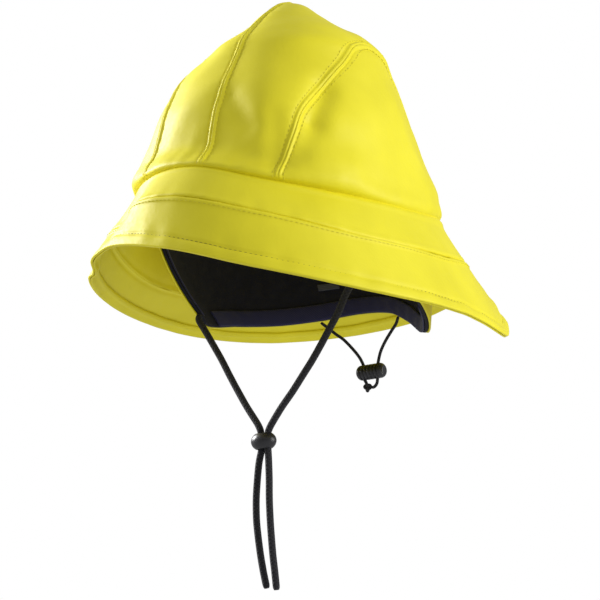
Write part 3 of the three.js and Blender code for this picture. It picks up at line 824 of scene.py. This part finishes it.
RIM_STITCH = 7.0
BRIM_FOLDS = [
    ((-50, -98, -13), (-60, -94, -20), 15, 8.2),
    ((-84, -83, -46), (-86, -81, -47), 8, 3.5),
    ((75, 113, -38), (91, 101, -51), 13, 4.3),
]
BRIM_AROUND = 620
brim_angles = (np.arange(BRIM_AROUND) / BRIM_AROUND * 360)[None, :]


def brim_folds(plain):
    """How far the brim's hollows sink it, in millimetres."""
    sunk = 0
    for start, end, width, depth in BRIM_FOLDS:
        sunk = sunk + depth * ridge(to_segment(plain, start, end), width)
    return sunk


def brim_slant(angles):
    """How deep the brim is along its slope, from the band seam to the rim."""
    fall = brim_surface(angles, 1 + 0 * angles) - brim_surface(angles, 2 + 0 * angles)
    return np.linalg.norm(fall, axis=-1)


def brim_facing(angles, place):
    """The way that the brim's plain face looks out."""
    lower = brim_surface(angles, np.minimum(2, place + 0.06))
    upper = brim_surface(angles, place - 0.06)
    left = brim_surface(angles + 0.5, place)
    right = brim_surface(angles - 0.5, place)
    normal = np.cross(left - right, upper - lower)
    return normal / np.linalg.norm(normal, axis=-1, keepdims=True)


def brim_ring(place, relief, sunk=0):
    """The brim's face all the way round at some places down it, sunk below its outer face."""
    plain, facing = brim_surface(brim_angles, place), brim_facing(brim_angles, place)
    height = relief(brim_angles, place, brim_slant(brim_angles), plain) - sunk
    return plain + facing * height[..., None], facing


def rows_between(low, high, rows):
    """Places down the brim in rows, closer together near both ends."""
    return high + (low - high) * eased(rows, 0.6)[:, None]


BAND_DEPTH = 30
BAND_TUCKED_IN = -0.06


def band_relief(angles, place, slant, plain):
    """The band's cloth: tucked in at the crown seam and gathered a little at its own seam."""
    from_crown = place * BAND_DEPTH
    from_seam = (1 - place) * BAND_DEPTH
    ripple = np.sin(np.radians(angles) * 37) + 0.7 * np.sin(np.radians(angles) * 61 + 2)
    near = np.exp(-from_seam / 7)
    tuck = -0.5 * ridge(from_seam, 0.7) + 0.25 * ridge(from_seam - 2.4, 1.4)
    crown_tuck = 0.6 * ridge(from_crown - 2.5, 2.0)
    free = 1 - ridge(np.maximum(0, from_crown), 4)
    drape = free * (0.4 * waves(plain, 60, 21) - brim_folds(plain))
    return drape + 0.12 * ripple * near + tuck + crown_tuck


def rim_relief(angles, place, slant, plain):
    """The brim's cloth: a ridge under the band seam, ripples, and the stitched groove at the rim."""
    from_rim = (2 - place) * slant
    from_seam = (place - 1) * slant
    turn_angle = np.radians(angles)
    ripple = np.sin(turn_angle * 29 + np.sin(turn_angle * 7)) + 0.7 * np.sin(turn_angle * 47 + 1)
    stitch = -0.9 * ridge(from_rim - RIM_STITCH, 0.8)
    roll = 0.25 * ridge(from_rim - 3, 2.2)
    lip = 0.7 * ridge(from_seam - 2.0, 1.3) - 0.6 * ridge(from_seam, 0.6)
    gathered = ridge(from_rim - RIM_STITCH, 6) + 0.5 * np.exp(-from_seam / 8)
    drape = 0.55 * waves(plain, 80, 33) + 0.16 * ripple * gathered
    return drape + stitch + roll + lip - brim_folds(plain)


for node, place, relief in (
    ("brim_band", rows_between(BAND_TUCKED_IN, 1.0, 30), band_relief),
    ("brim", rows_between(1.0, 2, 34), rim_relief),
):
    outer, facing = brim_ring(place, relief)
    piece = wall(node + "_cloth", outer, SHELL_CLOTH, coated, wrap=True, facing=facing)
    dress(piece, node)

# The turned-under strip inside the rim is the same cloth, seen from inside the brim. It lies
# against the brim's inner face and its free edge shows as a low step.
HEM_WIDTH = 9
HEM_CLOTH = 1.0
HEM_GAP = 0.25
hem_place = 2 - np.linspace(0.02, 1, 9)[:, None] * HEM_WIDTH / brim_slant(brim_angles)
outer, facing = brim_ring(hem_place, rim_relief, SHELL_CLOTH + HEM_GAP)
piece = wall("brim_hem_cloth", outer, HEM_CLOTH, coated, wrap=True, facing=facing)
dress(piece, "brim_hem")

# The ear and neck flap hangs inside the brim: coated cloth outside, fleece inside. It is cut to
# a point at each front corner, where the chin cord is sewn in, and rides up over the nape.
FLAP_CLOTH = 1.2
FLEECE = 2.0
FLAP_LAYER_GAP = 0.4
FLAP_TOP_INSET = 2.2
FLAP_TOP_DROP = 1.4
FLAP_TOP_LEFT = 60
FLAP_TOP_RIGHT = 295
FLAP_EDGE_BULGE = 1.7
FLAP_SECTIONS = [
    (76, -50.5, 25),
    (92, -50.5, 15),
    (108, -54, 8),
    (122, -62, 4),
    (137, -68.5, 1.5),
    (152, -60, 4),
    (166, -53.5, 6),
    (183, -53, 6),
    (204, -58, 6),
    (224, -63, 6.5),
    (244, -66.5, 9),
    (257, -69.5, 14),
    (265, -69.8, 18.5),
    (271, -66, 21),
]
FLAP_COLUMNS = ("angle", "hem_z", "inset")


def flap_value(name, degrees):
    """A named column of the flap table at any angle between its ends."""
    table = np.array(FLAP_SECTIONS, float)
    angles, column = table[:, 0], table[:, FLAP_COLUMNS.index(name)]
    last = len(angles) - 1
    row = np.clip(np.searchsorted(angles, degrees, side="right") - 1, 0, last - 1)
    share = (degrees - angles[row]) / (angles[row + 1] - angles[row])
    four = [column[np.clip(row + k, 0, last)] for k in (-1, 0, 1, 2)]
    return blend4(*four, share)


def flap_surface(u, v):
    """The flap's plain face: u runs from its left corner to its right one, v from hem to top."""
    drop = 1 - v
    hem_angle = FLAP_SECTIONS[0][0] + u * (FLAP_SECTIONS[-1][0] - FLAP_SECTIONS[0][0])
    top_angle = FLAP_TOP_LEFT + u * (FLAP_TOP_RIGHT - FLAP_TOP_LEFT)
    angle = top_angle + (hem_angle - top_angle) * drop ** FLAP_EDGE_BULGE
    top_z = brim_value("seam_z", angle) - FLAP_TOP_DROP
    inset = FLAP_TOP_INSET + (flap_value("inset", hem_angle) - FLAP_TOP_INSET) * drop ** 1.3
    z = top_z + (flap_value("hem_z", hem_angle) - top_z) * drop
    return oval_point(angle, -inset, z)


def flap_facing(u, v):
    """The way that the flap's plain face looks out."""
    spread = 0.02
    along_u = flap_surface(np.minimum(1, u + spread), v) - flap_surface(np.maximum(0, u - spread), v)
    along_v = flap_surface(u, np.minimum(1, v + spread)) - flap_surface(u, np.maximum(0, v - spread))
    normal = np.cross(along_u, along_v)
    return normal / np.linalg.norm(normal, axis=-1, keepdims=True)


def flap_layer(u, v, depth, relief):
    """A layer of the flap, `depth` millimetres inside its plain face."""
    u, v = u + 0 * v, v + 0 * u
    facing = flap_facing(u, v)
    plain = flap_surface(u, v)
    return plain + facing * (relief(u, v, plain) - depth)[..., None], facing


def flap_waves(u, v, plain):
    """Soft waves that fade towards the sewn-in top."""
    return 0.25 * waves(plain, 55, 51) * (1 - v)


flap_u = eased(230, 0.3)[None, :]
flap_v = eased(60, 0.4)[:, None]
flap_outer, facing = flap_layer(flap_u, flap_v, 0, flap_waves)
piece = wall("flap_outer_cloth", flap_outer, FLAP_CLOTH, coated, facing=facing)
dress(piece, "flap_outer")

# The flap's lining is brushed polyester fleece, a very dark navy, cut like the outer cloth and
# sewn to it round the edge. Its short pile is drawn as a fuzzy 1 mm nap.
fleece, shader = new_material("brushed_polyester_fleece", "#17171C", 1.0)
fleece_place = add_node(fleece, "ShaderNodeTexCoord")
nap = add_node(fleece, "ShaderNodeTexNoise", {
    "Vector": fleece_place.outputs["Object"], "Scale": 900.0, "Detail": 6.0,
})
tufts = add_node(fleece, "ShaderNodeTexNoise", {
    "Vector": fleece_place.outputs["Object"], "Scale": 160.0, "Detail": 4.0,
})
nap_tone = add_node(fleece, "ShaderNodeMixRGB", {
    "Fac": tufts.outputs["Fac"], "Color1": linear("#16161D"), "Color2": linear("#26262F"),
})
nap_bump = add_node(fleece, "ShaderNodeBump", {
    "Height": nap.outputs["Fac"], "Strength": 0.9, "Distance": 0.6 * MM,
})
tuft_bump = add_node(fleece, "ShaderNodeBump", {
    "Height": tufts.outputs["Fac"], "Strength": 0.6, "Distance": 1.0 * MM,
    "Normal": nap_bump.outputs["Normal"],
})
join(fleece, nap_tone.outputs["Color"], shader, "Base Color")
join(fleece, tuft_bump.outputs["Normal"], shader, "Normal")
shader.inputs["Sheen Weight"].default_value = 0.06
shader.inputs["Sheen Roughness"].default_value = 0.6
shader.inputs["Specular IOR Level"].default_value = 0.15

FLEECE_DEPTH = FLAP_CLOTH + FLAP_LAYER_GAP
fleece_outer, facing = flap_layer(flap_u, flap_v, FLEECE_DEPTH, flap_waves)
piece = wall("flap_fleece_pile", fleece_outer, FLEECE, fleece, facing=facing)
dress(piece, "flap_fleece")

# The drawcord's casing is a strip of smooth navy twill sewn along the fleece's lower edge. The
# twill's slanting ribs are drawn 1.2 mm apart, coarser than the real ones, so that they show.
twill, shader = new_material("navy_polyester_twill", "#1B1B31", 0.85)
twill_uv = add_node(twill, "ShaderNodeUVMap", uv_map="cloth")
twill_lay = add_node(twill, "ShaderNodeMapping", {
    "Vector": twill_uv.outputs["UV"], "Rotation": (0, 0, math.radians(35)),
})
twill_wave = add_node(twill, "ShaderNodeTexWave", {
    "Vector": twill_lay.outputs["Vector"], "Scale": 260.0,
})
twill_tone = add_node(twill, "ShaderNodeMixRGB", {
    "Fac": twill_wave.outputs["Fac"], "Color1": linear("#15153A"), "Color2": linear("#22224E"),
})
twill_bump = add_node(twill, "ShaderNodeBump", {
    "Height": twill_wave.outputs["Fac"], "Strength": 0.5, "Distance": 0.2 * MM,
})
join(twill, twill_tone.outputs["Color"], shader, "Base Color")
join(twill, twill_bump.outputs["Normal"], shader, "Normal")
shader.inputs["Sheen Weight"].default_value = 0.15

CASING_WIDTH = 10
CASING_CLOTH = 1.0
CASING_FROM = 116
CASING_TO = 255
CASING_GAP = 0.3
CASING_DEPTH = FLEECE_DEPTH + FLEECE + CASING_GAP
FLAP_SPAN = FLAP_SECTIONS[-1][0] - FLAP_SECTIONS[0][0]


def along_flap(degrees):
    """How far along the flap's hem an angle lies, from 0 to 1."""
    return (degrees - FLAP_SECTIONS[0][0]) / FLAP_SPAN


casing_rise = np.linspace(0, 1, 14)[:, None]
casing_u = along_flap(np.linspace(CASING_FROM, CASING_TO, 170))[None, :]
flap_fall = flap_surface(casing_u, 0 * casing_u) - flap_surface(casing_u, 1 + 0 * casing_u)
casing_v = casing_rise * CASING_WIDTH / np.linalg.norm(flap_fall, axis=-1)


def casing_relief(u, v, plain):
    """The casing's cloth, rounded over the cord inside it and gathered along it."""
    tunnel = np.sin(np.pi * casing_rise)
    return flap_waves(u, v, plain) - 0.5 * tunnel - 0.15 * np.sin(u * 170) * tunnel


casing_outer, facing = flap_layer(casing_u, casing_v, CASING_DEPTH, casing_relief)
piece = wall("nape_casing_twill", casing_outer, CASING_CLOTH, twill, facing=facing)
dress(piece, "nape_casing")

# The fleece's front edges are turned under and bound with the same twill, a narrow folded strip.
EDGE_BINDING_CLOTH = 0.7
for name, low_u, high_u in (("left", 0.0, 0.012), ("right", 0.986, 0.999)):
    binding_u = np.linspace(low_u, high_u, 6)[None, :]
    binding_v = np.linspace(0.02, 0.98, 60)[:, None]
    binding_outer, facing = flap_layer(binding_u, binding_v, CASING_DEPTH, flap_waves)
    piece = wall("flap_edge_binding_" + name, binding_outer, EDGE_BINDING_CLOTH, twill, facing=facing)
    dress(piece, None)

# A small label of woven grey polyester tape, left bare, is sewn flat on the fleece above the
# casing. Its weft shows as fine ribs across it.
tape, shader = new_material("grey_woven_tape", "#55565C", 0.9)
tape_uv = add_node(tape, "ShaderNodeUVMap", uv_map="cloth")
tape_wave = add_node(tape, "ShaderNodeTexWave", {
    "Vector": tape_uv.outputs["UV"], "Scale": 300.0,
}, bands_direction="Y")
tape_tone = add_node(tape, "ShaderNodeMixRGB", {
    "Fac": tape_wave.outputs["Fac"], "Color1": linear("#3C3D44"), "Color2": linear("#505158"),
})
join(tape, tape_tone.outputs["Color"], shader, "Base Color")
LABEL_MIDDLE = 196
LABEL_SPREAD = 4.6
LABEL_FROM_TOP = 0.64
LABEL_HEIGHT = 0.075
LABEL_CLOTH = 0.6
label_u = along_flap(LABEL_MIDDLE + LABEL_SPREAD * np.linspace(-1, 1, 22))[None, :]
label_v = (1 - LABEL_FROM_TOP + LABEL_HEIGHT * np.linspace(-0.5, 0.5, 8))[:, None]
label_outer, facing = flap_layer(label_u, label_v, CASING_DEPTH, flap_waves)
piece = wall("label_tape", label_outer, LABEL_CLOTH, tape, facing=facing)
dress(piece, "label")

# Topstitching in hi-vis thread: small raised stitches in rows beside the crown's seams, under the
# band seam and round the rim. One stitch is modelled and copied along each row.
def spin_thread(name, colour, roughness):
    """Polyester sewing thread, a little shiny, with the twist of its fine yarns as bump."""
    spun, shader = new_material(name, colour, roughness)
    place = add_node(spun, "ShaderNodeTexCoord")
    twist = add_node(spun, "ShaderNodeTexNoise", {
        "Vector": place.outputs["Object"], "Scale": 1800.0,
    })
    twist_bump = add_node(spun, "ShaderNodeBump", {
        "Height": twist.outputs["Fac"], "Strength": 0.4, "Distance": 0.1 * MM,
    })
    join(spun, twist_bump.outputs["Normal"], shader, "Normal")
    return spun


thread = spin_thread("hi_vis_polyester_thread", "#D9CF29", 0.7)
STITCH_LENGTH = 2.1
STITCH_PITCH = 2.9
STITCH_RADIUS = 0.24


def stitch_shape():
    """One stitch: a short six-sided thread that dips into the cloth at both ends."""
    sides, rings = 6, 5
    around = np.arange(sides) / sides * 2 * np.pi
    points = []
    for k in range(rings):
        t = k / (rings - 1)
        thick = STITCH_RADIUS * (0.55 + 0.45 * math.sin(math.pi * t))
        lift = STITCH_RADIUS * (1.1 * math.sin(math.pi * t) - 0.35)
        for a in around:
            points.append(((t - 0.5) * STITCH_LENGTH, thick * math.cos(a), lift + thick * math.sin(a)))
    faces = [tuple(reversed(range(sides))), tuple(range((rings - 1) * sides, rings * sides))]
    for k in range(rings - 1):
        for i in range(sides):
            n = (i + 1) % sides
            faces.append((k * sides + i, k * sides + n, (k + 1) * sides + n, (k + 1) * sides + i))
    return np.array(points), faces


def stitch_row(lines):
    """Stitches along several lines of (points, normals), as one list of points and faces."""
    shape, shape_faces = stitch_shape()
    points, faces = [], []
    for line, normals in lines:
        run = np.concatenate([[0], np.cumsum(np.linalg.norm(np.diff(line, axis=0), axis=1))])
        for spot in np.arange(STITCH_PITCH / 2, run[-1] - STITCH_PITCH / 2, STITCH_PITCH):
            middle = np.array([np.interp(spot, run, line[:, k]) for k in range(3)])
            ahead = np.array([np.interp(spot + 1, run, line[:, k]) for k in range(3)]) - middle
            up = np.array([np.interp(spot, run, normals[:, k]) for k in range(3)])
            ahead /= np.linalg.norm(ahead)
            across = np.cross(up, ahead)
            across /= np.linalg.norm(across)
            up = np.cross(ahead, across)
            base = sum(len(p) for p in points)
            points.append(middle + shape @ np.stack([ahead, across, up]))
            faces += [tuple(i + base for i in f) for f in shape_faces]
    return np.vstack(points), faces


CROWN_STITCH_OFFSET = 2.5
row_v = np.linspace(0.012, 0.988, 420)
row_rise = 1 - np.abs(2 * row_v - 1)


def crown_seam_line(seam_x, offset):
    """A line on the crown beside a seam, `offset` millimetres to one side of it in x."""
    x = seam_x[:, None] + offset + np.array([-0.6, 0, 0.6])[None, :]
    level = top_level_at_x(x) * np.sin(row_rise * np.pi / 2)[:, None]
    grid = crown_point(angle_at_x(x, level, row_v[:, None] > 0.5), level)
    normal, plain = grid_normals(grid, False)[:, 1], grid[:, 1]
    along = np.cumsum(np.linalg.norm(np.diff(plain, axis=0, prepend=plain[:1]), axis=1))
    height = crown_relief(plain, [np.abs(offset) / seam_tilt(normal)], along)
    return plain + normal * height[:, None], normal


crown_rows = [
    crown_seam_line(seam_x, offset)
    for seam_x in (middle_seam_x(row_v), side_seam_x(1, row_rise), -side_seam_x(-1, row_rise))
    for offset in (-CROWN_STITCH_OFFSET, CROWN_STITCH_OFFSET)
]
points, faces = stitch_row(crown_rows)
piece = mesh_object("crown_stitches", points, faces, None, thread)
add_to_hat(piece)

# The rim's row of stitches sits deep in its groove. Its thread is the same as the other rows', and is
# drawn darker here as painted shade. The row under the band seam lies on the brim's raised edge.
thread_darkened_as_painted_shade = spin_thread("hi_vis_thread_with_painted_groove_shade", "#A39A24", 0.75)
BAND_STITCH = 3.0
row_angles = np.linspace(0, 360, 900)[None, :]
row_slant = brim_slant(row_angles)
for name, place, spun in (
    ("rim_stitches", 2 - RIM_STITCH / row_slant, thread_darkened_as_painted_shade),
    ("band_stitches", 1 + BAND_STITCH / row_slant, thread),
):
    plain, facing = brim_surface(row_angles, place), brim_facing(row_angles, place)
    raised = plain + facing * rim_relief(row_angles, place, row_slant, plain)[..., None]
    points, faces = stitch_row([(raised[0], facing[0])])
    piece = mesh_object(name, points, faces, None, spun)
    add_to_hat(piece)

# A plain white studio: a strong soft light from the left of the picture, a broad weaker one from
# the right, white surroundings, and a pale floor. The floor lies well below the hat, so that it
# hides nothing from a low view, and glows a little to light the inside of the brim.
bpy.context.scene.view_settings.view_transform = "Standard"
FLOOR_HEIGHT = -3
floor_material, shader = new_material("pale_studio_floor", "#BBBBBB", 0.95)
shader.inputs["Specular IOR Level"].default_value = 0.0
shader.inputs["Emission Color"].default_value = (1, 1, 1, 1)
shader.inputs["Emission Strength"].default_value = 0.34
pale = add_node(floor_material, "ShaderNodeEmission", {"Color": linear("#FDFDFD"), "Strength": 1.0})
floor_rays = add_node(floor_material, "ShaderNodeLightPath")
floor_mix = add_node(floor_material, "ShaderNodeMixShader", {
    0: floor_rays.outputs["Is Camera Ray"], 1: shader.outputs["BSDF"], 2: pale.outputs["Emission"],
})
floor_output = floor_material.node_tree.nodes["Material Output"]
floor_material.node_tree.links.new(floor_mix.outputs["Shader"], floor_output.inputs["Surface"])
deselect_all()
bpy.ops.mesh.primitive_plane_add(size=60, location=(0, 0, FLOOR_HEIGHT))
floor = bpy.context.active_object
floor.name = "studio_floor"
floor.data.materials.append(floor_material)

world = bpy.data.worlds.new("white_studio")
bpy.context.scene.world = world
world.use_nodes = True
background = world.node_tree.nodes["Background"]
background.inputs["Color"].default_value = (1, 1, 1, 1)
rays = add_node(world, "ShaderNodeLightPath")
sky_way = add_node(world, "ShaderNodeTexCoord")
sky_parts = add_node(world, "ShaderNodeSeparateXYZ", {"Vector": sky_way.outputs["Generated"]})
sky = add_node(world, "ShaderNodeMapRange", {
    "Value": sky_parts.outputs["Z"], "From Min": -0.2, "From Max": 0.5, "To Min": 0.2, "To Max": 0.47,
})
seen = add_node(world, "ShaderNodeMix", {
    0: rays.outputs["Is Camera Ray"], 2: sky.outputs["Result"], 3: 1.0,
})
world.node_tree.links.new(seen.outputs[0], background.inputs["Strength"])


def add_light(name, place, size, power):
    """A square soft light that faces the hat."""
    data = bpy.data.lights.new(name, "AREA")
    data.size = size
    data.energy = power
    lamp = bpy.data.objects.new(name, data)
    lamp.location = place
    lamp.rotation_mode = "QUATERNION"
    lamp.rotation_quaternion = Vector(place).to_track_quat("Z", "Y")
    bpy.context.scene.collection.objects.link(lamp)


LIGHT_DISTANCE = 1.6
left_side = -image_right - towards_camera * 0.55 + Vector((0, 0, 0.3))
right_side = image_right + towards_camera * 0.45 + Vector((0, 0, 0.25))
add_light("left_softbox", left_side.normalized() * LIGHT_DISTANCE, 0.6, 40)
add_light("right_softbox", right_side.normalized() * LIGHT_DISTANCE, 1.1, 20)
